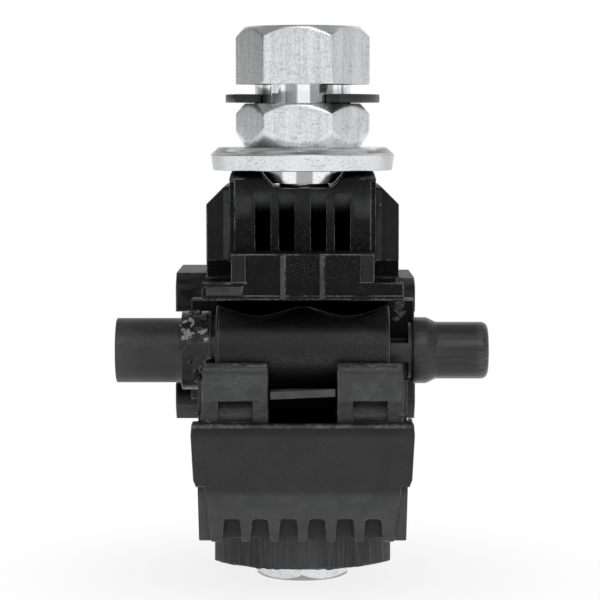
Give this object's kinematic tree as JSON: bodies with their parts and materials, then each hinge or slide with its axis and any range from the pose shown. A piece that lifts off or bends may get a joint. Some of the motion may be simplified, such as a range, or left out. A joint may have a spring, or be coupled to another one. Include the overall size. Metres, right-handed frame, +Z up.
{
  "type": "insulation piercing tap connector",
  "caption": "Insulation piercing tap connector: black moulded jaws on a clamping bolt with a shear nut and domed washer, a rubber tap sleeve with end cap and a main cable channel.",
  "frame": {"origin": "on the bolt axis, at the underside of the bolt head", "axes": "+Z up the bolt towards the shear nut, X along both cables, -Y towards the tap sleeve"},
  "size_m": [0.0397, 0.0401, 0.0608],
  "materials": {
    "black_polyamide": "matte, glass filled",
    "black_rubber": "satin",
    "bare_aluminium": "drawn, bare",
    "zinc_steel": "zinc plated",
    "tinned_contact": "tinned",
    "ring_plastic": "satin black"
  },
  "bodies": {
    "lower_body": {"lower_jaw": "black_polyamide", "clamp_bolt": "zinc_steel", "lower_main_seal": "black_rubber", "lower_tap_seal": "black_rubber", "lower_blade_left": "tinned_contact", "lower_blade_right": "tinned_contact", "tap_sleeve": "black_rubber", "end_cap": "black_rubber"},
    "washer_body": {"dome_washer": "zinc_steel"},
    "upper_body": {"upper_jaw": "black_polyamide", "upper_main_seal": "black_rubber", "upper_tap_seal": "black_rubber", "upper_blade_left": "tinned_contact", "upper_blade_right": "tinned_contact"},
    "nut_body": {"shear_nut": "bare_aluminium", "stop_ring": "ring_plastic"}
  },
  "joints": [
    {"name": "clamp_travel", "type": "slide", "parent": "lower_body", "child": "washer_body", "axis": [0, 0, 1], "range_m": [-0.002, 0.0045]},
    {"name": "nut_turn", "type": "hinge", "parent": "washer_body", "child": "nut_body", "pos_m": [0, 0, 0.05], "axis": [0, 0, 1], "range_deg": [-721, 1621]},
    {"name": "jaw_rock", "type": "hinge", "parent": "washer_body", "child": "upper_body", "pos_m": [0, 0, 0.04756], "axis": [1, 0, 0], "range_deg": [-2.5, 2.5]}
  ],
  "couplings": [
    {"joint": "nut_turn", "follows": "clamp_travel", "rad_per_m": 6283.2}
  ]
}
